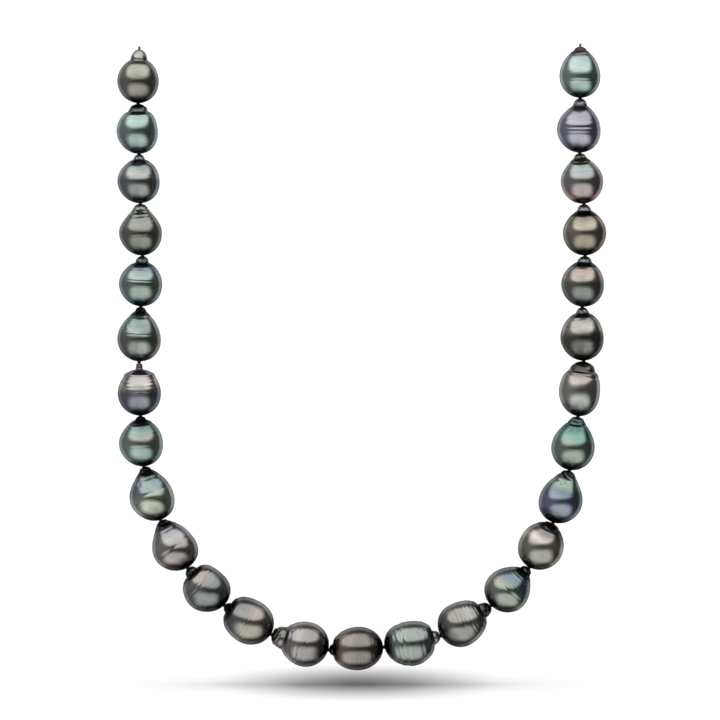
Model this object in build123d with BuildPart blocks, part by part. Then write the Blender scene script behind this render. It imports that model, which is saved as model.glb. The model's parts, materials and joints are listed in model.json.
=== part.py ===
from build123d import *
from collections import namedtuple
from math import acos, cos, degrees, radians, sin, sqrt
import os

# A necklace of 27 baroque Tahitian pearls, strung on knotted silk and hung open in a U.
# Millimetres. X runs across the strand, +Z is up, and +Y points behind it.
# The origin is the middle of the line between the tip mouths of the two end pearls.

# ---------------------------------------------------------------- driving dimensions

SILK_DIAMETER = 0.6
DRILL_CLEARANCE = 0.1          # all round the silk, in every drill hole
KNOT_DIAMETER = 1.0
KNOT_ROOM = 0.25               # from one pearl's mouth to the next pearl's mouth
KNOT_GAP = 0.05                # from the end of a silk run to the next knot
MOUTH_FLARE = 0.3              # how much wider than the drill hole each mouth is
TIP_LIP = 0.2                  # pearl left round the mouth on a narrow tip

GIMP_DIAMETER = 0.7
GIMP_RISE = 0.14               # straight up out of the end pearl
GIMP_BEND = 0.4
GIMP_SLOPE = 25                # degrees below level, behind the end pearl
EYE_RADIUS = 1.1               # gimp eye, to the middle of its wire
HANG_CLEARANCE = 0.3           # between an end pearl and what hangs behind it

RING_OUTER = 2.8
RING_BORE = 1.95
RING_THICKNESS = 0.9
RING_EDGE = 0.2

CLASP_HALF_WIDTH = 2.3
CLASP_HALF_HEIGHT = 3.2
CLASP_THICKNESS = 2.0
CLASP_EDGE = 0.3
CLASP_DROP = 4.1               # from the middle of the tail eye to the middle of the claw
TAIL_EYE_RADIUS = 1.0          # tail eye, to the middle of its wire
TAIL_EYE_WIRE = 0.7
MOUTH_HALF_WIDTH = 1.15
MOUTH_HALF_HEIGHT = 1.35
MOUTH_SIDE = -0.1              # the claw's opening, from the middle of the claw
MOUTH_DROP = 0.8
RIVET_RADIUS = 0.35
RIVET_SIDE = 0.35              # the rivet, from the middle of the tail eye
RIVET_DROP = 2.3
RIVET_HEAD_RADIUS = 0.6
RIVET_HEAD_HEIGHT = 0.15
PIN_CLEARANCE = 0.05
LEVER_THICKNESS = 0.9
LEVER_REACH = 3.0
LEVER_SIDE_GAP = 0.08
LEVER_END_GAP = 0.12
LEVER_HUB = 0.75
THUMB_LENGTH = 2.5
THUMB_HEIGHT = 0.75
SLOT_SIDE = -0.9               # the slot's closed side, from the rivet
SLOT_TOP = 0.85                # the slot's top, above the rivet
GATE_SIDE = 0.25               # where the gate starts, from the rivet
SPRING_WIRE = 0.14
SPRING_RADIUS = 0.26
SPRING_TURNS = 4
SPRING_DROP = 1.15             # the spring's line, below the rivet
SPRING_GAP = 0.05

# One row for each pearl: greatest width, length between its mouths, height of the widest
# place above the lower mouth, how much its shoulders slope (0.5 is boxy, 1 is a pear's),
# width and height of the nub at its tip, and its lean from upright in degrees, towards
# the middle of the necklace.
Pearl = namedtuple("Pearl", "width length belly fullness nub_width nub_height lean")

LEFT_SIDE = [
    Pearl(10.1, 12.9, 5.2, 0.70, 4.1, 2.6, -1.3),
    Pearl(10.0, 12.0, 5.3, 0.60, 4.6, 1.7, 1.0),
    Pearl(10.3, 11.7, 5.3, 0.70, 2.7, 1.1, 1.2),
    Pearl(10.4, 12.4, 5.5, 1.25, 3.4, 0.9, 2.4),
    Pearl(10.5, 12.1, 5.5, 0.75, 3.2, 1.4, -2.0),
    Pearl(10.6, 13.1, 5.3, 0.95, 2.7, 0.9, -1.9),
    Pearl(10.5, 12.9, 5.3, 0.55, 1.7, 1.7, 1.1),
    Pearl(10.7, 12.1, 5.6, 0.75, 2.6, 0.7, 4.0),
    Pearl(10.8, 13.4, 5.8, 0.95, 3.0, 0.9, 17.2),
    Pearl(10.9, 13.1, 5.3, 0.90, 3.2, 0.8, 29.3),
    Pearl(11.0, 12.5, 5.5, 0.45, 3.2, 1.3, 44.5),
    Pearl(11.0, 13.1, 5.9, 0.42, 2.5, 0.9, 58.1),
    Pearl(11.0, 14.2, 5.6, 0.75, 5.6, 3.2, 74.9),
]

# The middle pearl's tip is on the left, and it leans a little past level.
MIDDLE = Pearl(10.6, 13.1, 6.0, 0.55, 2.8, 0.9, 93.1)

RIGHT_SIDE = [
    Pearl(10.0, 12.3, 5.1, 0.80, 2.9, 0.8, 0.0),
    Pearl(10.6, 13.0, 5.6, 0.90, 3.4, 1.6, 0.5),
    Pearl(10.3, 12.1, 5.5, 1.00, 3.0, 0.9, -4.9),
    Pearl(10.5, 12.3, 5.5, 0.85, 3.3, 1.4, -1.4),
    Pearl(10.4, 12.2, 5.4, 0.75, 3.5, 1.4, 3.0),
    Pearl(10.5, 12.8, 5.5, 0.65, 3.1, 1.3, -1.5),
    Pearl(10.0, 13.3, 5.9, 0.55, 6.2, 2.3, 5.7),
    Pearl(10.6, 13.0, 5.5, 1.10, 3.5, 0.8, 8.9),
    Pearl(10.6, 13.1, 5.4, 1.10, 3.3, 0.7, 17.2),
    Pearl(11.0, 12.1, 5.7, 0.70, 3.8, 0.6, 28.0),
    Pearl(11.0, 12.9, 5.3, 0.90, 3.0, 1.2, 45.0),
    Pearl(10.9, 14.0, 5.3, 0.55, 3.8, 2.3, 58.9),
    Pearl(11.0, 13.7, 6.2, 0.50, 3.4, 1.6, 79.0),
]

# ---------------------------------------------------------------- worked out from them

SILK_RADIUS = SILK_DIAMETER / 2
DRILL_RADIUS = SILK_RADIUS + DRILL_CLEARANCE
MOUTH_RADIUS = DRILL_RADIUS + MOUTH_FLARE
SLOT_THICKNESS = LEVER_THICKNESS + 2 * LEVER_SIDE_GAP
OUTLINE_STEP = 15              # degrees of the round between one outline point and the next
NUB_STEPS = 4
END_RADIUS = max(LEFT_SIDE[0].width, RIGHT_SIDE[0].width) / 2
CLASP_REACH = CLASP_THICKNESS / 2 + RIVET_HEAD_HEIGHT
HANG_DEPTH = END_RADIUS + HANG_CLEARANCE + CLASP_REACH
BACKWARDS = Vector(0, 1, 0)

os.makedirs("parts", exist_ok=True)


def save(builder, name):
    """Label a finished piece and write it."""
    builder.part.label = name
    export_step(builder.part, f"parts/{name}.step")


def uphill(lean, side):
    """The direction of a drill hole, from a pearl's lower mouth to its tip. side is -1 on the left."""
    return Vector(side * sin(radians(lean)), 0, cos(radians(lean)))


def climb(start, pearls, side):
    """Knots up one side, lowest first, from the knot beside the middle pearl to the end pearl's tip."""
    knots = [start]
    for row in reversed(pearls):
        knots.append(knots[-1] + uphill(row.lean, side) * (row.length + KNOT_ROOM))
    return knots


# The strand is laid out from the middle pearl, then shifted so that its ends straddle the origin.
middle_way = Vector(-sin(radians(MIDDLE.lean)), 0, cos(radians(MIDDLE.lean)))
half_middle = middle_way * ((MIDDLE.length + KNOT_ROOM) / 2)
left_knots = climb(half_middle, LEFT_SIDE, -1)
right_knots = climb(half_middle * -1, RIGHT_SIDE, 1)
left_knots[-1] -= uphill(LEFT_SIDE[0].lean, -1) * (KNOT_ROOM / 2)
right_knots[-1] -= uphill(RIGHT_SIDE[0].lean, 1) * (KNOT_ROOM / 2)
origin = (left_knots[-1] + right_knots[-1]) * 0.5
left_knots = [knot - origin for knot in left_knots]
right_knots = [knot - origin for knot in right_knots]


# ---------------------------------------------------------------- pearls


def make_pearl(name, row, lower_mouth, way):
    """One drilled pearl, turned about its drill hole. way points from its lower mouth to its tip."""
    radius = row.width / 2
    neck = row.nub_width / 2
    crown = row.length - row.nub_height - row.belly
    tip_mouth = min(MOUTH_RADIUS, neck - TIP_LIP)
    foot_edge = row.belly * (1 - sqrt(1 - (MOUTH_RADIUS / radius) ** 2))
    foot_turn = degrees(acos(MOUTH_RADIUS / radius))
    nub_turn = acos(tip_mouth / neck)
    nub_rise = row.nub_height / sin(nub_turn)

    foot_points = []
    turn = foot_turn
    while turn > OUTLINE_STEP / 2:
        height = row.belly * (1 - sin(radians(turn)))
        foot_points.append((radius * cos(radians(turn)), height))
        turn -= OUTLINE_STEP
    crown_points = []
    for turn in range(0, 90, OUTLINE_STEP):
        reach = cos(radians(turn)) ** (2 * row.fullness)
        height = row.belly + crown * sin(radians(turn))
        crown_points.append((neck + (radius - neck) * reach, height))
    neck_height = row.belly + crown
    nub_points = []
    for share in range(1, NUB_STEPS + 1):
        turn = nub_turn * share / NUB_STEPS
        nub_points.append((neck * cos(turn), neck_height + nub_rise * sin(turn)))

    with BuildPart() as pearl:
        with BuildSketch(Plane(origin=lower_mouth, x_dir=BACKWARDS, z_dir=BACKWARDS.cross(way))):
            with BuildLine():
                Spline(*foot_points, *crown_points, (neck, neck_height))
                Spline((neck, neck_height), *nub_points)
                Polyline(
                    (tip_mouth, row.length),
                    (DRILL_RADIUS, row.length - (tip_mouth - DRILL_RADIUS)),
                    (DRILL_RADIUS, foot_edge + MOUTH_FLARE),
                    foot_points[0],
                )
            make_face()
        revolve(axis=Axis(lower_mouth, way))
    save(pearl, name)


def pearl_between(name, row, lower_knot, way):
    """A pearl that stands clear of the knot below it by half the room for a knot."""
    make_pearl(name, row, lower_knot + way * (KNOT_ROOM / 2), way)


for side_name, side, rows, knots in (
    ("left", -1, LEFT_SIDE, left_knots),
    ("right", 1, RIGHT_SIDE, right_knots),
):
    for number, row in enumerate(rows, start=1):
        lower_knot = knots[len(rows) - number]
        pearl_between(f"pearl_{side_name}_{number:02d}", row, lower_knot, uphill(row.lean, side))
pearl_between("pearl_middle", MIDDLE, right_knots[0], middle_way)

# ---------------------------------------------------------------- silk and knots


def make_silk(name, top, bottom, knot_on_top=True, knot_below=False):
    """The silk through one pearl, fused to its own knot and stopping short of the next one."""
    down = (bottom - top).normalized()
    length = (bottom - top).length
    if not knot_below:
        length -= KNOT_DIAMETER / 2 + KNOT_GAP
    with BuildPart() as silk:
        with BuildSketch(Plane(origin=top, x_dir=BACKWARDS, z_dir=down)):
            Circle(SILK_RADIUS)
        extrude(amount=length)
        if knot_on_top:
            with Locations(top):
                Sphere(KNOT_DIAMETER / 2)
        if knot_below:
            with Locations(bottom):
                Sphere(KNOT_DIAMETER / 2)
    save(silk, name)


for side_name, knots in (("left", left_knots), ("right", right_knots)):
    for number in range(1, len(knots)):
        upper = knots[len(knots) - number]
        lower = knots[len(knots) - number - 1]
        make_silk(f"silk_{side_name}_{number:02d}", upper, lower, knot_on_top=number > 1)
make_silk("silk_middle", left_knots[0], right_knots[0], knot_below=True)

# ---------------------------------------------------------------- gimp loops

# Gimp is a fine coil of wire that covers the silk where it turns round a clasp. Both loops
# lie in a plane across X, rise out of an end pearl's tip and reach back behind it.

bend_turn = 90 + GIMP_SLOPE
bend_tangent = GIMP_BEND * sin(radians(bend_turn)) / (1 + cos(radians(bend_turn)))
slope = Vector(0, cos(radians(GIMP_SLOPE)), -sin(radians(GIMP_SLOPE)))
corner = Vector(0, 0, GIMP_RISE + bend_tangent)
eye_middle = corner + slope * (HANG_DEPTH / cos(radians(GIMP_SLOPE)))
tips = (left_knots[-1], right_knots[-1])

with BuildPart() as gimp_loops:
    for tip in tips:
        with BuildLine():
            FilletPolyline(
                tip,
                tip + corner,
                tip + eye_middle - slope * EYE_RADIUS,
                radius=GIMP_BEND,
            )
        with BuildSketch(Plane(origin=tip, z_dir=(0, 0, 1))):
            Circle(GIMP_DIAMETER / 2)
        sweep()
        with Locations(Plane(origin=tip + eye_middle, z_dir=(1, 0, 0))):
            Torus(EYE_RADIUS, GIMP_DIAMETER / 2)
save(gimp_loops, "gimp_loops")

# ---------------------------------------------------------------- jump ring, on the right

# Its wire runs through the middle of the gimp eye, so it swings clear of the eye all the way.
ring_middle = tips[1] + eye_middle - Vector(0, 0, (RING_BORE + RING_OUTER) / 2)
with BuildPart() as jump_ring:
    with BuildSketch(Plane(origin=ring_middle, x_dir=(1, 0, 0), z_dir=(0, -1, 0))):
        Circle(RING_OUTER)
        Circle(RING_BORE, mode=Mode.SUBTRACT)
    extrude(amount=RING_THICKNESS / 2, both=True)
    fillet(jump_ring.edges().filter_by(GeomType.CIRCLE), radius=RING_EDGE)
save(jump_ring, "jump_ring")

# ---------------------------------------------------------------- lobster clasp, on the left

# The clasp lies flat behind the end pearl. Its own sketches have their origin in the middle
# of the tail eye, with x across and y up.

tail_middle = tips[0] + eye_middle - Vector(0, 0, TAIL_EYE_RADIUS)
clasp_plane = Plane(origin=tail_middle, x_dir=(1, 0, 0), z_dir=(0, -1, 0))
rivet_at = (RIVET_SIDE, -RIVET_DROP)
claw_at = (0, -CLASP_DROP)
mouth_at = (MOUTH_SIDE, -CLASP_DROP - MOUTH_DROP)
gate_left = RIVET_SIDE + GATE_SIDE
gate_top = -RIVET_DROP - SLOT_TOP
slot_left = RIVET_SIDE + SLOT_SIDE
slot_top = -RIVET_DROP + SLOT_TOP
slot_height = slot_top - mouth_at[1]

with BuildPart() as clasp_body:
    with BuildSketch(clasp_plane):
        with Locations(claw_at):
            Ellipse(CLASP_HALF_WIDTH, CLASP_HALF_HEIGHT)
        with Locations(mouth_at):
            Ellipse(MOUTH_HALF_WIDTH, MOUTH_HALF_HEIGHT, mode=Mode.SUBTRACT)
    extrude(amount=CLASP_THICKNESS / 2, both=True)
    rims = clasp_body.faces().filter_by(Axis.Y).edges()
    fillet(rims, radius=CLASP_EDGE)
    # The gate's place: all that its end sweeps, right through the claw.
    with BuildSketch(clasp_plane):
        with Locations(rivet_at):
            Circle(LEVER_REACH + LEVER_END_GAP)
        with Locations((gate_left, gate_top)):
            Rectangle(
                CLASP_HALF_WIDTH * 2,
                CLASP_HALF_HEIGHT * 2,
                align=(Align.MIN, Align.MAX),
                mode=Mode.INTERSECT,
            )
    extrude(amount=CLASP_THICKNESS, both=True, mode=Mode.SUBTRACT)
    # The slot that holds the lever's hub and the spring.
    with BuildSketch(clasp_plane):
        with Locations((slot_left, slot_top)):
            Rectangle(CLASP_HALF_WIDTH * 2, slot_height, align=(Align.MIN, Align.MAX))
    extrude(amount=SLOT_THICKNESS / 2, both=True, mode=Mode.SUBTRACT)
    with BuildSketch(clasp_plane):
        with Locations(rivet_at):
            Circle(RIVET_RADIUS)
    extrude(amount=CLASP_THICKNESS, both=True, mode=Mode.SUBTRACT)
    with Locations(clasp_plane):
        Torus(TAIL_EYE_RADIUS, TAIL_EYE_WIRE / 2)
save(clasp_body, "clasp_body")

with BuildPart() as clasp_lever:
    with BuildSketch(clasp_plane):
        with Locations(claw_at):
            Ellipse(CLASP_HALF_WIDTH, CLASP_HALF_HEIGHT)
        with Locations(mouth_at):
            Ellipse(MOUTH_HALF_WIDTH, MOUTH_HALF_HEIGHT, mode=Mode.SUBTRACT)
        with Locations(rivet_at):
            Circle(LEVER_REACH, mode=Mode.INTERSECT)
        with Locations((gate_left, -RIVET_DROP)):
            Rectangle(
                CLASP_HALF_WIDTH * 2,
                CLASP_HALF_HEIGHT * 2,
                align=(Align.MIN, Align.MAX),
                mode=Mode.INTERSECT,
            )
        with Locations(rivet_at):
            Circle(LEVER_HUB)
            SlotOverall(THUMB_LENGTH * 2, THUMB_HEIGHT)
        with Locations((RIVET_SIDE - LEVER_HUB, -RIVET_DROP)):
            Rectangle(
                THUMB_LENGTH * 2,
                CLASP_HALF_HEIGHT * 2,
                align=(Align.MAX, Align.CENTER),
                mode=Mode.SUBTRACT,
            )
        with Locations(rivet_at):
            Circle(RIVET_RADIUS + PIN_CLEARANCE, mode=Mode.SUBTRACT)
    extrude(amount=LEVER_THICKNESS / 2, both=True)
save(clasp_lever, "clasp_lever")

with BuildPart() as clasp_rivet:
    with BuildSketch(clasp_plane):
        with Locations(rivet_at):
            Circle(RIVET_RADIUS)
    extrude(amount=CLASP_THICKNESS / 2 + RIVET_HEAD_HEIGHT, both=True)
    for face in (1, -1):
        with BuildSketch(clasp_plane.offset(face * CLASP_THICKNESS / 2)):
            with Locations(rivet_at):
                Circle(RIVET_HEAD_RADIUS)
        extrude(amount=face * RIVET_HEAD_HEIGHT)
save(clasp_rivet, "clasp_rivet")

# The spring lies across the slot, from its closed side to the gate, and pushes the gate shut.
spring_start = slot_left + SPRING_GAP + SPRING_WIRE / 2
spring_end = gate_left - SPRING_GAP - SPRING_WIRE / 2
spring_from = tail_middle + Vector(spring_start, 0, -RIVET_DROP - SPRING_DROP)
spring_length = spring_end - spring_start
with BuildPart() as clasp_spring:
    with BuildLine() as coil:
        Helix(
            spring_length / SPRING_TURNS,
            spring_length,
            SPRING_RADIUS,
            center=spring_from,
            direction=(1, 0, 0),
        )
    with BuildSketch(Plane(origin=coil.line @ 0, z_dir=coil.line % 0)):
        Circle(SPRING_WIRE / 2)
    sweep(is_frenet=True)
save(clasp_spring, "clasp_spring")

# ---------------------------------------------------------------- the joints' places

print("knots, lowest first, as left x z and right x z")
for left, right in zip(left_knots, right_knots):
    print(f"  {left.X:8.3f} {left.Z:9.3f}   {right.X:8.3f} {right.Z:9.3f}")
print(f"gimp eye middle, from a tip: y {eye_middle.Y:.3f} z {eye_middle.Z:.3f}")
print(f"jump ring middle: {ring_middle.X:.3f} {ring_middle.Y:.3f} {ring_middle.Z:.3f}")
rivet_x, rivet_z = tail_middle.X + RIVET_SIDE, tail_middle.Z - RIVET_DROP
print(f"clasp rivet: {rivet_x:.3f} {tail_middle.Y:.3f} {rivet_z:.3f}")
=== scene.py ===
# %% [markdown]
# # A strand of dark baroque pearls
# The frame is the necklace's own model: every pearl, every knot, the clasp and the ring, in
# their true places. It brings sizes and joints, and this notebook gives each piece its looks.
# We measure the frame first, because the finished necklace has to stay the same size.

import json
import math
from collections import namedtuple

import bpy
import numpy as np
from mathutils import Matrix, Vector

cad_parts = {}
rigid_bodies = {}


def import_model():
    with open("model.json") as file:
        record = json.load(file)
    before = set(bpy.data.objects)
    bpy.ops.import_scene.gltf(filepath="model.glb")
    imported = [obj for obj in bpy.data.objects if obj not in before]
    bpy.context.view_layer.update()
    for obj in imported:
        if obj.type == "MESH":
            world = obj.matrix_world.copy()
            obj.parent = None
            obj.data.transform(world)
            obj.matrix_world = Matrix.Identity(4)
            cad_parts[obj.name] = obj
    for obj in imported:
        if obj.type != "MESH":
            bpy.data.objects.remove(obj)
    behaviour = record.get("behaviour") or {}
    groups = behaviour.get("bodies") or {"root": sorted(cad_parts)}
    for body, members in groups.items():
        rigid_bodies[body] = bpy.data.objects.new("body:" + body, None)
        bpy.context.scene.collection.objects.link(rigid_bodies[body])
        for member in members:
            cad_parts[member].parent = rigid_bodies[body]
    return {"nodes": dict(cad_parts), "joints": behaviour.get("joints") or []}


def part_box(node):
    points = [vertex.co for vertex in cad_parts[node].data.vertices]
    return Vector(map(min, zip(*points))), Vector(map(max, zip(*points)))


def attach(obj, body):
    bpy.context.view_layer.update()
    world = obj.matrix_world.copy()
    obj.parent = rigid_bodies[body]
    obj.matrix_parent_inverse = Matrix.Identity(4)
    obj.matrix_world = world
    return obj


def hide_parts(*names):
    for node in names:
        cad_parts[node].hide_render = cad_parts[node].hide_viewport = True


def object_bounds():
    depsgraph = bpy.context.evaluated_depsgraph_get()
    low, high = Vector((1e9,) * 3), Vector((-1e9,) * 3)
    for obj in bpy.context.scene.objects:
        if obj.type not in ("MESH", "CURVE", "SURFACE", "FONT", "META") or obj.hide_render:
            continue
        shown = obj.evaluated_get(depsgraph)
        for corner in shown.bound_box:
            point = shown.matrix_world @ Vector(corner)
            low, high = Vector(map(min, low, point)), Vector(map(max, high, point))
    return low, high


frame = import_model()
scene = bpy.context.scene
bare_low, bare_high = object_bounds()
joints = {joint["name"]: joint for joint in frame["joints"]}
MM = 0.001
FRONT = np.array((0.0, -1.0, 0.0))
print(len(joints), "joints;", len(frame["nodes"]), "pieces; size", list(bare_high - bare_low))

# %% [markdown]
# ## Colours and nodes
# Colours are written the way a paint chart gives them, as sRGB hex, and Blender wants linear
# light, so one function turns them. One more function adds any shader node: it takes the
# node's settings and its inputs, and an input is either a plain value or another node's output.

# %% Colour and node helpers


def linear(code):
    """An sRGB hex colour as linear red, green, blue and alpha."""
    shares = [int(code[place : place + 2], 16) / 255 for place in (0, 2, 4)]
    light = [s / 12.92 if s <= 0.04045 else ((s + 0.055) / 1.055) ** 2.4 for s in shares]
    return [*light, 1.0]


def add(tree, kind, inputs=None, **settings):
    """Adds a shader node, and returns it."""
    node = tree.nodes.new("ShaderNode" + kind)
    for name, value in settings.items():
        setattr(node, name, value)
    for name, value in (inputs or {}).items():
        if isinstance(value, bpy.types.NodeSocket):
            tree.links.new(value, node.inputs[name])
        else:
            node.inputs[name].default_value = value
    return node


def new_material(name):
    """A material with an empty tree. Returns the material, its tree and its output node."""
    material = bpy.data.materials.new(name)
    material.use_nodes = True
    material.node_tree.nodes.clear()
    return material, material.node_tree, add(material.node_tree, "OutputMaterial")


def set_ramp(node, stops):
    """Gives a colour ramp its stops, as (place, hex colour)."""
    ramp = node.color_ramp
    ramp.interpolation = "EASE"
    for place, code in stops[1:-1]:
        ramp.elements.new(place).color = linear(code)
    for element, (place, code) in zip((ramp.elements[0], ramp.elements[-1]), (stops[0], stops[-1])):
        element.position = place
        element.color = linear(code)


print("middle grey in linear light:", [round(part, 3) for part in linear("808080")])

# %% [markdown]
# ## How each pearl grew
# No two baroque pearls match. Each one grew round its nucleus while it turned in the shell, so
# its marks run in rings about one line, and the driller follows that line with the hole. The
# table tells each pearl's story in a sorter's words. Colours run from the foot, over the lower
# half, the upper half and the shoulder, to the tip, and then come the colour that drifts in
# patches and the one at the rim. After them come how far the belly hangs over to the right,
# the rings (place from foot 0 to tip 1, depth, width, rise to the right), and the pits
# (place, turn to the right in degrees, size, depth), in millimetres. Last come how knobbly the
# nub is, and the place and darkness of the painted shade at the collar under it.

# %% Sorter's table
Look = namedtuple(
    "Look", "foot lower upper shoulder tip drift rim hang rings pits knobs collar dark"
)

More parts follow.
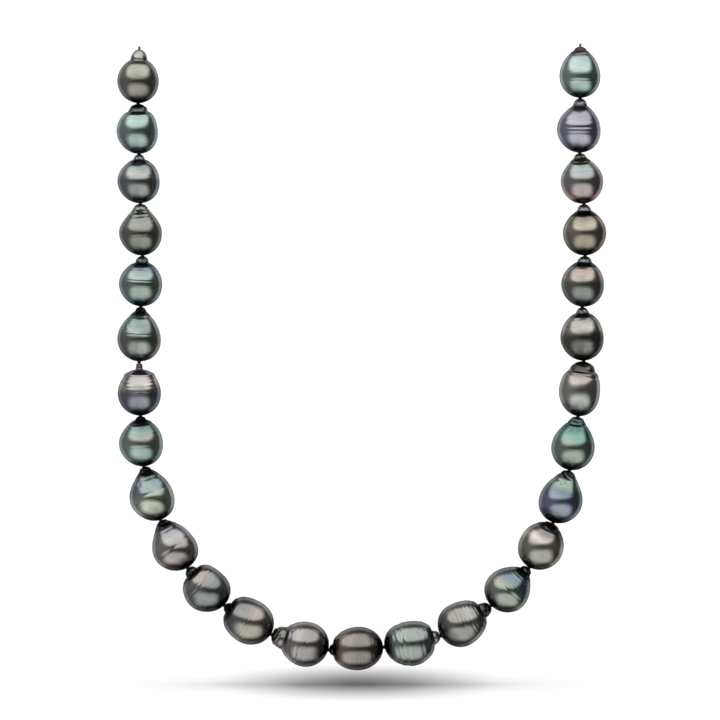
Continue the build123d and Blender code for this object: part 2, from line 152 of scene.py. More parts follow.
LOOKS = {
    "pearl_left_01": Look(
        "6e665c", "9a948a", "b4b4a4", "a8a898", "c2c2b6", "8e9a8a", "8890a2", -0.15,
        [(0.76, 0.05, 0.30, 0.1), (0.70, 0.03, 0.2, 0.0)],
        [(0.47, 42, 0.10, 0.05), (0.49, 52, 0.10, 0.05), (0.46, 60, 0.08, 0.04)], 0.03, 0.80, 0.35,
    ),
    "pearl_left_02": Look(
        "5c7470", "98b6b0", "a8ccbc", "98bcae", "2e3634", "a6ccb8", "8490b4", -0.35,
        [(0.83, 0.16, 0.22, 0.0), (0.77, 0.05, 0.25, 0.1), (0.20, 0.03, 0.2, 0.1)],
        [], 0.05, 0.85, 0.50,
    ),
    "pearl_left_03": Look(
        "626e72", "889698", "b8beb6", "90a69e", "b6baba", "bcb4ae", "7c90a4", -0.3,
        [(0.84, 0.07, 0.25, 0.0), (0.56, 0.02, 0.2, 0.2)],
        [(0.72, -14, 0.22, 0.14)], 0.03, 0.89, 0.50,
    ),
    "pearl_left_04": Look(
        "5c6058", "8a8e80", "a0a494", "8c9490", "ccc4ae", "98a48e", "84909a", -0.25,
        [(0.84, 0.10, 0.22, 0.0), (0.77, 0.10, 0.25, 0.1), (0.70, 0.09, 0.28, 0.1),
         (0.62, 0.06, 0.25, 0.0), (0.40, 0.02, 0.2, 0.1)],
        [(0.36, 30, 0.18, 0.06), (0.32, 22, 0.18, 0.06)], 0.04, 0.91, 0.30,
    ),
    "pearl_left_05": Look(
        "5c6c70", "98aca4", "a4bcb4", "7c9aa8", "8c9292", "a4c4a6", "6468a4", -0.25,
        [(0.53, 0.07, 0.10, 0.0), (0.68, 0.05, 0.20, 0.1), (0.75, 0.06, 0.2, 0.0),
         (0.87, 0.16, 0.2, 0.0)], [], 0.04, 0.86, 0.75,
    ),
    "pearl_left_06": Look(
        "4e564e", "8e948c", "8aa49c", "84a698", "262c2a", "aecab8", "9a8a9c", -0.2,
        [(0.52, 0.05, 0.12, 0.1), (0.83, 0.08, 0.25, 0.0)],
        [(0.66, -34, 0.20, 0.14), (0.70, -24, 0.18, 0.14), (0.63, -22, 0.16, 0.10),
         (0.72, -42, 0.18, 0.12), (0.67, 8, 0.14, 0.08), (0.52, -18, 0.14, 0.08),
         (0.52, 16, 0.12, 0.08), (0.60, -48, 0.16, 0.10)], 0.04, 0.90, 0.50,
    ),
    "pearl_left_07": Look(
        "66607a", "8a8698", "d6cabc", "bcaab4", "9c8a96", "8eb49c", "665c76", -0.1,
        [(0.77, 0.13, 0.22, 0.1), (0.71, 0.14, 0.24, 0.1),
         (0.64, 0.10, 0.24, 0.1), (0.57, 0.06, 0.2, 0.0), (0.46, -0.05, 0.12, 0.0),
         (0.80, -0.5, 0.42, 0.0)], [], 0.05, 0.85, 0.10,
    ),
    "pearl_left_08": Look(
        "5e706c", "9cbaac", "b6ada6", "7ca6a0", "3c4444", "8cb0a4", "6c8490", -0.3,
        [(0.86, 0.12, 0.2, 0.0), (0.79, 0.09, 0.22, 0.0), (0.73, 0.07, 0.2, 0.1),
         (0.67, 0.05, 0.2, 0.0), (0.42, 0.03, 0.2, 0.0)], [], 0.04, 0.91, 0.40,
    ),
    "pearl_left_09": Look(
        "6c7466", "c0cab2", "8aa2b0", "88a4a8", "36382a", "a8bea0", "6c7890", -0.45,
        [(0.54, 0.08, 0.30, 0.4), (0.80, 0.12, 0.3, -0.3), (0.70, 0.05, 0.2, 0.2)],
        [(0.74, -30, 0.5, 0.12)], 0.06, 0.91, 0.40,
    ),
    "pearl_left_10": Look(
        "645852", "aca096", "babab8", "9e9ca6", "26262a", "b8b0b4", "7e829c", -0.45,
        [(0.47, 0.07, 0.30, 0.7), (0.80, 0.10, 0.3, 0.0)], [], 0.1, 0.92, 0.40,
    ),
    "pearl_left_11": Look(
        "4a4e50", "8c9290", "9a9e96", "b89e98", "44342e", "90b098", "6a748e", -0.45,
        [(0.68, 0.06, 0.2, 0.0), (0.61, 0.05, 0.16, 0.0), (0.85, 0.10, 0.22, 0.0),
         (0.30, 0.04, 0.16, 0.4)], [(0.56, -44, 0.14, 0.07)], 0.06, 0.88, 0.50,
    ),
    "pearl_left_12": Look(
        "464644", "b4aa98", "9a9c94", "868a8c", "16181a", "b4b2a0", "66788e", -0.15,
        [(0.87, 0.14, 0.3, 0.0), (0.60, 0.02, 0.2, 0.0), (0.54, 0.04, 0.14, 0.0)],
        [(0.55, 6, 0.1, 0.06)], 0.04, 0.91, 0.60,
    ),
    "pearl_left_13": Look(
        "565250", "a49e98", "b6b0aa", "9e989c", "545a3c", "bcaaa6", "9294a4", -0.1,
        [(0.68, 0.10, 0.28, 0.3), (0.55, 0.07, 0.2, 0.4), (0.40, 0.04, 0.2, 0.2)],
        [(0.52, -30, 0.35, 0.10)], 0.22, 0.77, 0.35,
    ),
    "pearl_middle": Look(
        "54443c", "8e867c", "989086", "a4948c", "222224", "b4a094", "7e6e72", 0.0,
        [(0.46, 0.035, 0.16, 0.0), (0.54, 0.02, 0.2, 0.1), (0.20, 0.06, 0.2, 0.1),
         (0.13, 0.05, 0.15, 0.0), (0.84, 0.06, 0.2, 0.0)], [], 0.08, 0.92, 0.50,
    ),
    "pearl_right_13": Look(
        "465450", "a4ae9e", "a6a8a4", "96a4a0", "ccd0cc", "90aca6", "64707e", 0.4,
        [(0.34, 0.22, 0.34, 0.3), (0.22, 0.10, 0.26, 0.2), (0.68, 0.06, 0.24, 0.0),
         (0.76, 0.05, 0.2, 0.0)], [], 0.04, 0.87, 0.40,
    ),
    "pearl_right_12": Look(
        "545450", "a4a098", "bab6ae", "8c8a84", "362e28", "98a294", "747472", 0.1,
        [(0.58, 0.05, 0.2, 0.0), (0.64, 0.07, 0.2, 0.1), (0.70, 0.08, 0.2, 0.0),
         (0.76, 0.10, 0.2, 0.1), (0.45, 0.03, 0.2, 0.0), (0.83, 0.08, 0.2, 0.0)],
        [], 0.12, 0.82, 0.40,
    ),
    "pearl_right_11": Look(
        "605c5c", "aeb294", "7c94a0", "7c98a8", "202426", "88b2a4", "7a7288", 0.15,
        [(0.56, 0.04, 0.14, 0.0), (0.62, 0.05, 0.14, 0.1), (0.67, 0.05, 0.12, 0.0),
         (0.72, 0.06, 0.12, 0.1), (0.77, 0.06, 0.14, 0.0), (0.45, 0.05, 0.2, 0.3),
         (0.83, 0.06, 0.14, 0.0)], [], 0.05, 0.88, 0.60,
    ),
    "pearl_right_10": Look(
        "5c5c58", "aaac98", "dac8be", "9c948c", "343230", "b2b2a2", "7e7e7a", 0.15,
        [(0.87, 0.20, 0.4, 0.3), (0.78, 0.06, 0.3, 0.0)], [], 0.06, 0.92, 0.60,
    ),
    "pearl_right_09": Look(
        "3e4254", "8a94ba", "74889c", "92b896", "46564a", "9ab4a4", "7e6e8e", 0.2,
        [(0.80, 0.08, 0.3, 0.0), (0.60, 0.03, 0.3, 0.0)],
        [(0.70, -8, 0.34, 0.20), (0.76, -20, 0.3, 0.18), (0.75, 8, 0.26, 0.16),
         (0.68, 12, 0.22, 0.12), (0.72, 40, 0.4, 0.15)], 0.08, 0.93, 0.30,
    ),
    "pearl_right_08": Look(
        "3a4848", "98ae9e", "6cb29a", "368082", "6a9894", "a8ba8e", "5a6a9a", 0.0,
        [(0.62, 0.04, 0.14, 0.0), (0.67, 0.05, 0.14, 0.0), (0.72, 0.04, 0.14, 0.0),
         (0.87, 0.20, 0.2, 0.0)], [], 0.04, 0.90, 0.40,
    ),
    "pearl_right_07": Look(
        "646a64", "bec2b4", "d0beb2", "a4988c", "544c44", "a4b8ac", "7a708a", -0.25,
        [(0.75, 0.22, 0.25, -0.5), (0.82, 0.05, 0.2, -0.2)], [], 0.05, 0.82, 0.30,
    ),
    "pearl_right_06": Look(
        "58544e", "6e6a62", "ccc2ba", "b0aca2", "a6a6a2", "9aa094", "7c7a7c", -0.25,
        [(0.30, 0.05, 0.28, 0.4), (0.80, 0.05, 0.2, 0.0), (0.86, 0.08, 0.18, 0.0)],
        [], 0.04, 0.87, 0.65,
    ),
    "pearl_right_05": Look(
        "585e5e", "8c8e84", "c6b69e", "c49c92", "7aa2a2", "84a28e", "646c80", -0.25,
        [(0.84, 0.08, 0.2, 0.0), (0.78, 0.03, 0.2, 0.0)], [], 0.03, 0.85, 0.75,
    ),
    "pearl_right_04": Look(
        "484434", "a29884", "c0b498", "9c9080", "969a96", "b2a278", "6a6a6c", 0.0,
        [(0.84, 0.08, 0.22, 0.0)], [(0.50, 46, 0.28, 0.12)], 0.03, 0.83, 0.93,
    ),
    "pearl_right_03": Look(
        "c08a7c", "b0a29e", "a6b6ba", "a6bcae", "9ca684", "bcb0ba", "a0949c", 0.0,
        [(0.83, 0.16, 0.22, 0.0), (0.75, 0.04, 0.25, 0.0)], [], 0.05, 0.87, 0.70,
    ),
    "pearl_right_02": Look(
        "5c5668", "aaaec2", "a8aab2", "a0a2b2", "a2a6a8", "c6b4c6", "a08ea8", -0.3,
        [(0.49, 0.10, 0.30, 0.1), (0.60, 0.05, 0.22, 0.0), (0.38, 0.05, 0.25, 0.1),
         (0.84, 0.08, 0.22, 0.0)], [(0.70, 12, 0.18, 0.10)], 0.04, 0.86, 0.65,
    ),
    "pearl_right_01": Look(
        "687e82", "a6c6ba", "bed6d2", "a4c4cc", "644640", "9ac2b4", "8a8e9a", -0.1,
        [(0.44, 0.02, 0.2, 0.0), (0.37, 0.035, 0.2, 0.1), (0.30, 0.02, 0.2, 0.0),
         (0.86, 0.06, 0.2, 0.0)], [], 0.04, 0.93, 0.20,
    ),
}
print(len(LOOKS), "pearls in the table")

# %% [markdown]
# ## Nacre
# Nacre is thousands of clear plates over a dark body, so it shines like a metal and still has
# soft light inside it. Mostly metallic colour gives the first, a share of plain colour under it
# gives the second, and a thin clear coat gives the wet gloss on top. The colour follows the
# pearl's own growing line, with drifting patches, and hair-fine growth lines raise the surface
# by a few thousandths of a millimetre. The tips of baroque pearls are rougher than their sides.

# %% Nacre material
CLOUD_SCALE = 160.0
PATCH_SCALE = 230.0
GRAIN_SCALE = 5200.0
GROWTH_LINES = 34.0
RIDGE_HEIGHT = 0.03 * MM
GRAIN_HEIGHT = 0.01 * MM
COLLAR_HALF = 0.03
COLLAR_END = 0.07


def make_nacre(name, look, foot, way, length):
    """Nacre for one pearl. Its colours run up the drill line from the foot."""
    material, tree, output = new_material("Nacre " + name.removeprefix("pearl_").replace("_", " "))
    place = add(tree, "TexCoord").outputs["Object"]
    from_foot = add(tree, "VectorMath", {0: place, 1: foot}, operation="SUBTRACT").outputs[0]
    rise = add(tree, "VectorMath", {0: from_foot, 1: way}, operation="DOT_PRODUCT").outputs["Value"]
    share = add(tree, "Math", {0: rise, 1: length}, operation="DIVIDE").outputs[0]
    clouds = add(tree, "TexNoise", {"Vector": place, "Scale": CLOUD_SCALE, "Detail": 4.0,
                                    "Roughness": 0.55}).outputs["Fac"]
    wander = add(tree, "MapRange", {"Value": clouds, "From Min": 0.3, "From Max": 0.7,
                                    "To Min": -0.06, "To Max": 0.06}).outputs[0]
    drifted = add(tree, "Math", {0: share, 1: wander}, operation="ADD").outputs[0]
    bands = add(tree, "ValToRGB", {"Fac": drifted})
    set_ramp(bands, [(0.10, look.foot), (0.30, look.lower), (0.44, look.lower),
                     (0.63, look.upper), (0.77, look.shoulder), (0.92, look.tip)])
    patches = add(tree, "TexNoise", {"Vector": from_foot, "Scale": PATCH_SCALE, "Detail": 3.0,
                                     "Distortion": 0.6}).outputs["Fac"]
    patch_share = add(tree, "MapRange", {"Value": patches, "From Min": 0.48, "From Max": 0.68,
                                         "To Min": 0.0, "To Max": 0.55}).outputs[0]
    painted = add(tree, "Mix", {0: patch_share, 6: bands.outputs["Color"], 7: linear(look.drift)},
                  data_type="RGBA").outputs[2]
    body = add(tree, "HueSaturation", {"Color": painted, "Saturation": 0.68}).outputs[0]
    # Growth lines: noise along the line alone, bent a little by the clouds.
    line_place = add(tree, "MapRange", {"Value": drifted, "From Min": 0.0, "From Max": 1.0,
                                        "To Min": 0.0, "To Max": GROWTH_LINES}).outputs[0]
    lines = add(tree, "TexNoise", {"W": line_place, "Scale": 1.0, "Detail": 3.0},
                noise_dimensions="1D").outputs["Fac"]
    grain = add(tree, "TexNoise", {"Vector": place, "Scale": GRAIN_SCALE,
                                   "Detail": 2.0}).outputs["Fac"]
    line_tint = add(tree, "MapRange", {"Value": lines, "From Min": 0.3, "From Max": 0.7,
                                       "To Min": 0.88, "To Max": 1.08}).outputs[0]
    # Painted shade: the nacre is darkened near the drill hole at the foot, standing in for the
    # shade and dark reflection of the next pearl.
    painted_foot_shade = add(tree, "MapRange", {"Value": share, "From Min": 0.05, "From Max": 0.15,
                                      "To Min": 0.1, "To Max": 1.0},
                   interpolation_type="SMOOTHSTEP").outputs[0]
    # Painted shade: a dark band at the collar under the nub, standing in for the shade and dark
    # reflection of the neighbouring pearl there.
    from_collar = add(tree, "Math", {0: share, 1: look.collar}, operation="SUBTRACT").outputs[0]
    collar_gap = add(tree, "Math", {0: from_collar}, operation="ABSOLUTE").outputs[0]
    collar = add(tree, "MapRange", {"Value": collar_gap,
                                    "From Min": COLLAR_HALF, "From Max": COLLAR_END,
                                    "To Min": 1.0 - look.dark, "To Max": 1.0},
                 interpolation_type="SMOOTHSTEP").outputs[0]
    ends = add(tree, "Math", {0: collar, 1: painted_foot_shade}, operation="MULTIPLY").outputs[0]
    # The growth lines' own colour, times the painted shade at the foot and under the nub.
    tint = add(tree, "Math", {0: line_tint, 1: ends}, operation="MULTIPLY").outputs[0]
    colour = add(tree, "Mix", {0: 1.0, 6: body, 7: tint}, data_type="RGBA",
                 blend_type="MULTIPLY").outputs[2]
    roughness = add(tree, "MapRange", {"Value": drifted, "From Min": 0.84, "From Max": 0.95,
                                       "To Min": 0.17, "To Max": 0.36}).outputs[0]
    gloss = add(tree, "Math", {0: grain, 1: 0.03, 2: roughness},
                operation="MULTIPLY_ADD").outputs[0]
    ridges = add(tree, "Bump", {"Height": lines, "Strength": 0.25,
                                "Distance": RIDGE_HEIGHT}).outputs[0]
    skin = add(tree, "Bump", {"Height": grain, "Strength": 0.05, "Distance": GRAIN_HEIGHT,
                              "Normal": ridges}).outputs[0]
    nacre = add(tree, "BsdfPrincipled", {
        "Base Color": colour, "Metallic": 0.97, "Roughness": gloss, "IOR": 1.56,
        "Specular Tint": linear(look.rim), "Normal": skin,
        "Coat Weight": 0.35, "Coat Roughness": 0.09, "Coat IOR": 1.5,
    })
    tree.links.new(nacre.outputs[0], output.inputs[0])
    return material


print("nacre has", round(GROWTH_LINES), "growth lines from foot to tip")

# %% [markdown]
# ## Pearls
# Each pearl starts as the outline measured from its own frame piece, turned about its drill
# line. Then it gets what a lathe can't give: a belly off to one side, growth rings, pits, and
# a knobbly tip. The drill hole runs right through, and opens a little at both mouths.

# %% Pearl meshes
ROWS = 116
COLUMNS = 96
SMOOTHINGS = 4
BORE = 0.4
MOUTH = 0.7
SINK_START = 0.7
RING_DEPTH = 0.75
RING_WIDTH = 1.25
RING_WAVER = 0.07
UNEVEN = 0.05
KNOB_WAVES = 14
NUB_START, NUB_EASE = 0.84, 0.06
BORE_LIP = 0.3


def measure_outline(node, middle, way):
    """The outside of a turned piece as heights along its line and radii, in millimetres."""
    points = np.array([vertex.co for vertex in frame["nodes"][node].data.vertices]) - middle
    heights = points @ way
    radii = np.linalg.norm(points - np.outer(heights, way), axis=1)
    pairs = np.c_[heights, radii][radii > (MOUTH - 0.01) * MM] / MM
    pairs = np.unique(np.round(pairs, 3), axis=0)
    travel = np.r_[0, np.cumsum(np.hypot(*np.diff(pairs, axis=0).T))]
    even = np.linspace(0, travel[-1], ROWS)
    heights, radii = (np.interp(even, travel, pairs[:, column]) for column in (0, 1))
    for _ in range(SMOOTHINGS):
        radii[1:-1] = (radii[:-2] + 2 * radii[1:-1] + radii[2:]) / 4
        heights[1:-1] = (heights[:-2] + 2 * heights[1:-1] + heights[2:]) / 4
    return heights, radii


def around_line(turns, side):
    """The directions out from a drill line, from the front round to its side and back."""
    return np.cos(turns)[:, None] * FRONT + np.sin(turns)[:, None] * side


def add_grid(name, points, material):
    """A closed mesh from rings of points. The last ring joins the first."""
    rings, columns = points.shape[:2]
    ring, column = np.meshgrid(np.arange(rings), np.arange(columns), indexing="ij")
    next_ring, next_column = (ring + 1) % rings, (column + 1) % columns
    corners = [(ring, column), (ring, next_column), (next_ring, next_column), (next_ring, column)]
    faces = np.stack([r * columns + c for r, c in corners], axis=-1).reshape(-1, 4)
    mesh = bpy.data.meshes.new(name)
    mesh.from_pydata(points.reshape(-1, 3).tolist(), [], faces.tolist())
    mesh.polygons.foreach_set("use_smooth", np.ones(len(faces), bool))
    mesh.materials.append(material)
    piece = bpy.data.objects.new(name, mesh)
    scene.collection.objects.link(piece)
    return piece


def grow_pearl(name, look, seed):
    """One pearl with its rings, pits and lean, in place of its turned frame piece."""
    joint = joints[name + "_spin"]
    middle, way = np.array(joint["pos_m"]), np.array(joint["axis"])
    heights, radii = measure_outline(name, middle, way)
    length = heights[-1] - heights[0]
    side = np.cross(way, FRONT)
    turns = np.linspace(0, 2 * math.pi, COLUMNS, endpoint=False)
    rise, radius = (heights - heights[0])[:, None], radii[:, None]
    share = rise / length
    sunk = np.zeros((ROWS, COLUMNS))
    for place, depth, width, tilt in look.rings:
        line = place * length + tilt * np.sin(turns) * radius / radii.max()
        line = line + RING_WAVER * np.sin(2 * turns + seed + 20 * place)
        sunk += RING_DEPTH * depth * np.exp(-(((rise - line) / (RING_WIDTH * width)) ** 2))
    for place, turn, size, depth in look.pits:
        across = ((turns - math.radians(turn) + math.pi) % (2 * math.pi) - math.pi) * radius
        sunk += depth * np.exp(-((rise - place * length) ** 2 + across**2) / size**2)
    chance = np.random.default_rng(seed)
    for waves in (2, 3, 4):
        phases = chance.uniform(0, 2 * math.pi, 2)
        sunk += UNEVEN / waves * np.cos(waves * turns + phases[0]) * np.cos(5 * share + phases[1])
    knobs = np.zeros((ROWS, COLUMNS))
    for _ in range(KNOB_WAVES):
        waves, climb, phase = chance.integers(2, 9), chance.uniform(2, 7), chance.uniform(0, 6.3)
        knobs += np.cos(waves * turns + climb * rise + phase) / 4
    tip_share = np.clip((share - NUB_START) / NUB_EASE, 0, 1)
    sunk += look.knobs * knobs * tip_share
    held = np.clip((radius - MOUTH) / SINK_START, 0, 1)
    radius = radius - sunk * held
    bore_heights = [heights[-1] - BORE_LIP, heights[0] + BORE_LIP]
    rise = np.repeat(np.r_[heights, bore_heights][:, None], COLUMNS, 1)
    radius = np.r_[radius, np.full((2, COLUMNS), BORE)]
    belly = np.r_[look.hang * np.sin(math.pi * share) ** 2 * held, np.zeros((2, 1))]
    round_way = around_line(turns, side)
    points = radius[:, :, None] * round_way + rise[:, :, None] * way + belly[:, :, None] * side
    foot = middle + way * heights[0] * MM
    material = make_nacre(name, look, foot, way, length * MM)
    pearl = add_grid(name.replace("pearl", "nacre"), middle + points * MM, material)
    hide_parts(name)
    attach(pearl, joint["child"])
    return length


for seed, (name, look) in enumerate(LOOKS.items(), start=1):
    length = grow_pearl(name, look, seed)
    print(f"{name}: {length:.1f} mm long, {len(look.rings)} rings, {len(look.pits)} pits")

# %% [markdown]
# ## Silk and knots
# Pearl silk is three plies twisted together, dyed dark here so that it doesn't show. The
# stringer ties one overhand knot after every pearl and pulls it down into the mouth of the
# hole. Each ply is a ridge that winds round the thread, and the knot is the same thread wound
# the other way, much tighter.

# %% Silk
KNOT = 0.5
SILK = 0.3
SILK_ROWS = 150
SILK_COLUMNS = 24
PLY_TWIST = 4.2
KNOT_TWIST = 6.0
CLOSED = 0.01


def make_silk_material():
    """Dyed silk: a soft, almost black thread with fine fibres."""
    material, tree, output = new_material("Silk thread, dyed dark")
    place = add(tree, "TexCoord").outputs["Object"]
    fibres = add(tree, "TexNoise", {"Vector": place, "Scale": 9000.0,
                                    "Detail": 3.0}).outputs["Fac"]
    shade = add(tree, "ValToRGB", {"Fac": fibres})
    set_ramp(shade, [(0.3, "151517"), (0.7, "2c2b2d")])
    raised = add(tree, "Bump", {"Height": fibres, "Strength": 0.5,
                                "Distance": 0.03 * MM}).outputs[0]
    silk = add(tree, "BsdfPrincipled", {
        "Base Color": shade.outputs["Color"], "Roughness": 0.62, "IOR": 1.5,
        "Sheen Weight": 0.4, "Sheen Roughness": 0.4, "Normal": raised,
    })
    tree.links.new(silk.outputs[0], output.inputs[0])
    return material


def lay_silk(node, pearl, knots, material):
    """One run of silk along a pearl's drill line, with a knot at its top, its bottom, or both."""
    joint = joints[pearl + "_spin"]
    middle, way = np.array(joint["pos_m"]), np.array(joint["axis"])
    points = np.array([vertex.co for vertex in frame["nodes"][node].data.vertices]) - middle
    low, high = (points @ way).min() / MM, (points @ way).max() / MM
    side = np.cross(way, FRONT)
    rise = np.linspace(low, high, SILK_ROWS)[:, None]
    turns = np.linspace(0, 2 * math.pi, SILK_COLUMNS, endpoint=False)
    plies = 0.88 + 0.12 * np.abs(np.cos(1.5 * turns + PLY_TWIST * rise))
    radius = SILK * plies
    for knot in knots:
        centre = high - KNOT if knot == "top" else low + KNOT
        ball = np.sqrt(np.clip(KNOT**2 - (rise - centre) ** 2, 0, None))
        wound = 0.82 + 0.18 * np.abs(np.cos(turns - KNOT_TWIST * (rise - centre) + 0.6))
        radius = np.maximum(radius, ball * wound)
    radius[0], radius[-1] = CLOSED, CLOSED
    shape = radius[:, :, None] * around_line(turns, side) + rise[:, :, None] * way
    run = add_grid(node.replace("silk", "thread"), middle + shape * MM, material)
    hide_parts(node)
    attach(run, joint["parent"])


silk_material = make_silk_material()
runs = sorted(node for node in frame["nodes"] if node.startswith("silk"))
unusual_knots = {"silk_middle": ("top", "bottom"), "silk_left_01": (), "silk_right_01": ()}
for node in runs:
    knots = unusual_knots.get(node, ("top",))
    lay_silk(node, node.replace("silk", "pearl"), knots, silk_material)
print(len(runs), "runs of silk")

# %% [markdown]
# ## Gimp
# Where silk turns round metal it would wear through, so the stringer slips it into gimp, a
# tiny coil of fine wire. It comes out of the end pearl, bends over, and makes an eye behind
# it. The coil is one wire wound round that line, so we follow the line and step round it.

# %% Gimp coils
WIRE = 0.075
COIL = 0.35 - WIRE
PITCH = 0.17
TURN_STEPS = 14
BEND = 0.4
SLOPE = math.radians(25)
EYE = 1.1
TUCKED = 0.3
BEND_STEPS, EYE_STEPS = 40, 80


def wind(curve, x, line, headings):
    """Winds wire round a line in the plane across x. line holds y and z, in millimetres."""
    travel = np.r_[0, np.cumsum(np.hypot(*np.diff(line, axis=0).T))]
    even = np.arange(0, travel[-1], PITCH / TURN_STEPS)
    y, z, heading = (np.interp(even, travel, part) for part in (*line.T, headings))
    turn = even / PITCH * 2 * math.pi
    out, across = COIL * np.cos(turn), COIL * np.sin(turn)
    points = np.c_[x + across, y - out * np.sin(heading), z + out * np.cos(heading)] * MM
    spline = curve.splines.new("POLY")
    spline.points.add(len(points) - 1)
    spline.points.foreach_set("co", np.c_[points, np.ones(len(points))].ravel())


def make_metal(name, light, dark, roughness, scratches):
    """Bare metal, with colour, gloss and a faint relief that vary by its working marks."""
    material, tree, output = new_material(name)
    place = add(tree, "TexCoord").outputs["Object"]
    marks = add(tree, "TexNoise", {"Vector": place, "Scale": scratches, "Detail": 5.0,
                                   "Distortion": 0.8}).outputs["Fac"]
    cloud = add(tree, "TexNoise", {"Vector": place, "Scale": 700.0,
                                   "Detail": 2.0}).outputs["Fac"]
    colour = add(tree, "ValToRGB", {"Fac": cloud})
    set_ramp(colour, [(0.3, dark), (0.7, light)])
    gloss = add(tree, "MapRange", {"Value": marks, "From Min": 0.3, "From Max": 0.7,
                                   "To Min": roughness * 0.7,
                                   "To Max": roughness * 1.4}).outputs[0]
    raised = add(tree, "Bump", {"Height": marks, "Strength": 0.25,
                                "Distance": 0.01 * MM}).outputs[0]
    metal = add(tree, "BsdfPrincipled", {
        "Base Color": colour.outputs["Color"], "Metallic": 1.0,
        "Roughness": gloss, "Normal": raised,
    })
    tree.links.new(metal.outputs[0], output.inputs[0])
    return material


coils = bpy.data.curves.new("gimp_coils", "CURVE")
coils.dimensions = "3D"
coils.bevel_depth = WIRE * MM
coils.bevel_resolution = 1
coils.use_fill_caps = True
for joint_name, pearl in (("clasp_swing", "pearl_left_01"), ("jump_ring_swing", "pearl_right_01")):
    x, eye_y, eye_z = np.array(joints[joint_name]["pos_m"]) / MM
    tip_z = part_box(pearl)[1].z / MM
    headings = np.linspace(math.pi / 2, -SLOPE, BEND_STEPS)
    arc = np.c_[BEND * (1 - np.sin(headings)), BEND * np.cos(headings)]
    rise_to = eye_z + (eye_y - arc[-1, 0]) * math.tan(SLOPE) - arc[-1, 1]
    near_eye = np.array([eye_y - EYE * math.cos(SLOPE), eye_z + EYE * math.sin(SLOPE)])
    stem = np.r_[[[0, tip_z - TUCKED]], arc + [0, rise_to], [near_eye]]
    wind(coils, x, stem, np.r_[math.pi / 2, headings, -SLOPE])
    around = np.linspace(0, 2 * math.pi, EYE_STEPS)
    eye_line = np.c_[eye_y + EYE * np.cos(around), eye_z + EYE * np.sin(around)]
    wind(coils, x, eye_line, around + math.pi / 2)
coil_piece = bpy.data.objects.new("gimp_wire", coils)
scene.collection.objects.link(coil_piece)
depsgraph = bpy.context.evaluated_depsgraph_get()
mesh = bpy.data.meshes.new_from_object(coil_piece.evaluated_get(depsgraph))
bpy.data.objects.remove(coil_piece)
gimp = bpy.data.objects.new("gimp_wire", mesh)
scene.collection.objects.link(gimp)
mesh.materials.append(make_metal("Gimp wire, silver plated", "c9c6bd", "a5a197", 0.24, 6000.0))
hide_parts("gimp_loops")
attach(gimp, "strand_ends")
print("gimp:", len(mesh.vertices), "points")

# %% [markdown]
# ## Clasp and ring
# The clasp, its lever and rivet and the jump ring are cast white gold, tumbled and polished,
# so they keep soft edges and a trace of fine scratches. The little spring is drawn steel wire.
# Their shapes come straight from the frame, because they fit each other there.

# %% Clasp and ring finish
SHARP = math.radians(35)
white_gold = make_metal("White gold, polished", "dcd9d0", "cac6bb", 0.13, 2600.0)
spring_steel = make_metal("Spring steel, drawn", "b6b6b8", "98989c", 0.28, 8000.0)
for node, metal in (
    ("clasp_body", white_gold),
    ("clasp_lever", white_gold),
    ("clasp_rivet", white_gold),
    ("jump_ring", white_gold),
    ("clasp_spring", spring_steel),
):
    mesh = frame["nodes"][node].data
    mesh.materials.clear()
    mesh.materials.append(metal)
    mesh.polygons.foreach_set("use_smooth", np.ones(len(mesh.polygons), bool))
    mesh.set_sharp_from_angle(angle=SHARP)
    print(node, "in", metal.name)

# %% [markdown]
# ## Table
# The strand hangs just above a white table. Most of the soft shadow under it is painted on the
# table: with lights all round, the real one would be very thin, so a round patch is painted darker.

# %% Table
TABLE_GAP = 3.5 * MM
TABLE_WIDE = 8.0
SHADE_BACK = 0.005
SHADE_WIDE, SHADE_DEEP = 0.041, 0.05


def make_table_material():
    """White card, with the painted soft shadow of a low-hanging strand under its lowest pearls."""
    material, tree, output = new_material("Table, matt white card")
    place = add(tree, "TexCoord").outputs["Object"]
    centred = add(tree, "VectorMath", {0: place, 1: (0.0, SHADE_BACK, 0.0)},
                  operation="SUBTRACT").outputs[0]
    spread = add(tree, "VectorMath", {0: centred, 1: (1 / SHADE_WIDE, 1 / SHADE_DEEP, 0.0)},
                 operation="MULTIPLY").outputs[0]
    distance = add(tree, "VectorMath", {0: spread}, operation="LENGTH").outputs["Value"]
    fibres = add(tree, "TexNoise", {"Vector": place, "Scale": 3000.0,
                                    "Detail": 3.0}).outputs["Fac"]
    # Painted shadow: the card is darkest in the middle of the patch and turns white at its edge.
    colour = add(tree, "ValToRGB", {"Fac": distance})
    set_ramp(colour, [(0.0, "848484"), (1.0, "fbfbfb")])
    raised = add(tree, "Bump", {"Height": fibres, "Strength": 0.1,
                                "Distance": 0.02 * MM}).outputs[0]
    card = add(tree, "BsdfPrincipled", {
        "Base Color": colour.outputs["Color"], "Roughness": 0.9, "Specular IOR Level": 0.1,
        "Normal": raised,
    })
    tree.links.new(card.outputs[0], output.inputs[0])
    return material


table_height = bare_low.z - TABLE_GAP
bpy.ops.mesh.primitive_plane_add(size=TABLE_WIDE, location=(0, 0, table_height))
table = bpy.context.object
table.name = "table"
table.data.materials.append(make_table_material())
table.visible_glossy = False
print(f"table {TABLE_GAP / MM:.1f} mm under the strand")

# %% [markdown]
# ## Camera
# The strand is seen from the front, a little from above, from far enough away that pearls on
# both sides look equally big. A long lens does that.

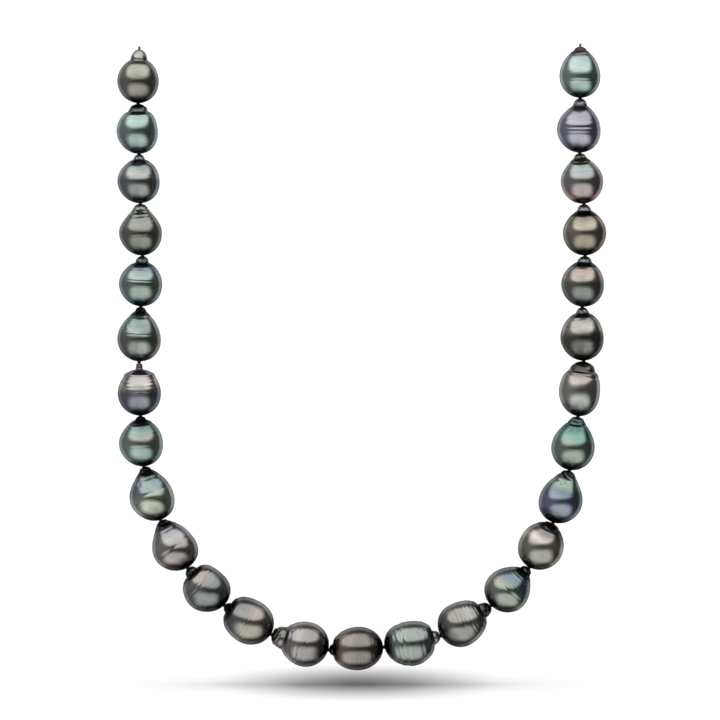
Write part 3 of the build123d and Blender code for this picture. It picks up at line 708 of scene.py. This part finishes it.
# %% Camera
RISE = math.radians(4)
LENS, SENSOR = 400.0, 36.0
WIDE = 0.17424
LOOK_AT = np.array((0.00005, 0.0, -0.0754))
distance = WIDE * LENS / SENSOR
camera_data = bpy.data.cameras.new("camera")
camera_data.lens, camera_data.sensor_width = LENS, SENSOR
camera_data.clip_start, camera_data.clip_end = 0.05, 50.0
camera = bpy.data.objects.new("camera", camera_data)
camera.location = LOOK_AT + distance * np.array((0, -math.cos(RISE), math.sin(RISE)))
camera.rotation_euler = (math.pi / 2 - RISE, 0, 0)
scene.collection.objects.link(camera)
scene.camera = camera
scene.view_settings.view_transform = "Standard"
print(f"camera {distance:.2f} m away, showing {WIDE / MM:.0f} mm")

# %% [markdown]
# ## Studio
# Pearls are mirrors, so what is round them matters more than the light that falls on them. A
# jeweller's light tent has a big soft light above the front, a white table below, a dark gap
# between them where the camera looks in, and dark cards at the sides. We paint that tent on
# the world. It is easiest to say where each part of it shows on a round pearl, so for every
# direction we find the spot on a ball that would mirror it to the camera, and paint there.

# %% Studio world
ROOM = 0.028
BACKDROP = 0.75
FOOT_SHADE = 0.6
LEFT_GLOW = 0.17
TOP_GLOW = 0.08
UPPER_LIGHT = 1.08
LOWER_LIGHT = 0.9
PLAIN_LIGHT = 1.0
WALL_LIGHT = 0.35

world = bpy.data.worlds.new("studio")
scene.world = world
world.use_nodes = True
tree = world.node_tree
tree.nodes.clear()
direction = add(tree, "TexCoord").outputs["Generated"]
gaze = (0.0, math.cos(RISE), -math.sin(RISE))
halfway = add(tree, "VectorMath", {0: direction, 1: gaze}, operation="SUBTRACT").outputs[0]
spot = add(tree, "VectorMath", {0: halfway}, operation="NORMALIZE").outputs[0]
across_way = (1.0, 0.0, 0.0)
up_way = (0.0, math.sin(RISE), math.cos(RISE))
across, upward = (
    add(tree, "VectorMath", {0: spot, 1: way}, operation="DOT_PRODUCT").outputs["Value"]
    for way in (across_way, up_way)
)


def combine(operation, *values):
    """One step of arithmetic on the world's values."""
    return add(tree, "Math", dict(enumerate(values)), operation=operation).outputs[0]


def ease(value, start, end):
    """Eases from 0 at start to 1 at end."""
    limits = {"Value": value, "From Min": start, "From Max": end}
    return add(tree, "MapRange", limits, interpolation_type="SMOOTHSTEP").outputs[0]


def soft_box(middle, half_wide, half_high, soft):
    """1 inside a box with round corners on the ball, 0 outside it."""
    sideways = combine("POWER", combine("ABSOLUTE", combine("DIVIDE", across, half_wide)), 3.0)
    offset = combine("SUBTRACT", upward, middle)
    upways = combine("POWER", combine("ABSOLUTE", combine("DIVIDE", offset, half_high)), 3.0)
    reach = combine("POWER", combine("ADD", sideways, upways), 1 / 3)
    return ease(reach, 1 + soft, 1 - soft)


def near_foot():
    """1 low down in the middle of the ball, where a dark card shows, and 0 elsewhere."""
    sideways = ease(combine("ABSOLUTE", across), 0.52, 0.36)
    return combine("MULTIPLY", sideways, ease(upward, -0.5, -0.66))


squares = combine("ADD", combine("MULTIPLY", across, across), combine("MULTIPLY", upward, upward))
from_middle = combine("SQRT", squares)
edge = combine("MULTIPLY", ease(from_middle, 0.8, 0.93), BACKDROP)
foot_shade = combine("SUBTRACT", 1.0, combine("MULTIPLY", near_foot(), FOOT_SHADE))
backdrop = combine("MULTIPLY", edge, foot_shade)
left_glow = combine("MULTIPLY", ease(across, 0.1, -0.5), LEFT_GLOW)
top_glow = combine("MULTIPLY", ease(upward, 0.66, 0.84), TOP_GLOW)
room = combine("ADD", combine("MAXIMUM", combine("ADD", left_glow, top_glow), backdrop), ROOM)
upper_shape = soft_box(middle=0.395, half_wide=0.54, half_high=0.285, soft=0.18)
upper_box = combine("MULTIPLY", upper_shape, UPPER_LIGHT)
lower_shape = soft_box(middle=-0.4, half_wide=0.46, half_high=0.28, soft=0.34)
lower_box = combine("MULTIPLY", lower_shape, LOWER_LIGHT)
mirrored = combine("ADD", room, combine("ADD", upper_box, lower_box))
# Only what the pearls mirror is painted. The camera and the table get a plain, steady light.
path = add(tree, "LightPath")
wall = combine("MULTIPLY", path.outputs["Is Camera Ray"], WALL_LIGHT)
steady = combine("ADD", wall, PLAIN_LIGHT)
glossy = path.outputs["Is Glossy Ray"]
kept = combine("MULTIPLY", mirrored, glossy)
others = combine("MULTIPLY", steady, combine("SUBTRACT", 1.0, glossy))
strength = combine("ADD", kept, others)
studio = add(tree, "Background", {"Color": (1.0, 1.0, 1.0, 1.0), "Strength": strength})
add(tree, "OutputWorld", {"Surface": studio.outputs[0]})
print("studio painted with", len(tree.nodes), "nodes")

# %% [markdown]
# ## Overhead lamp
# One broad lamp straight above draws the real shadow on the table. The pearls don't mirror it,
# because the tent already shows them a softer one.

# %% Overhead lamp
lamp_data = bpy.data.lights.new("overhead", "SUN")
lamp_data.energy = 0.5
lamp_data.angle = math.radians(40)
lamp = bpy.data.objects.new("overhead", lamp_data)
lamp.visible_glossy = False
scene.collection.objects.link(lamp)
print("lamp", round(math.degrees(lamp_data.angle)), "degrees across")
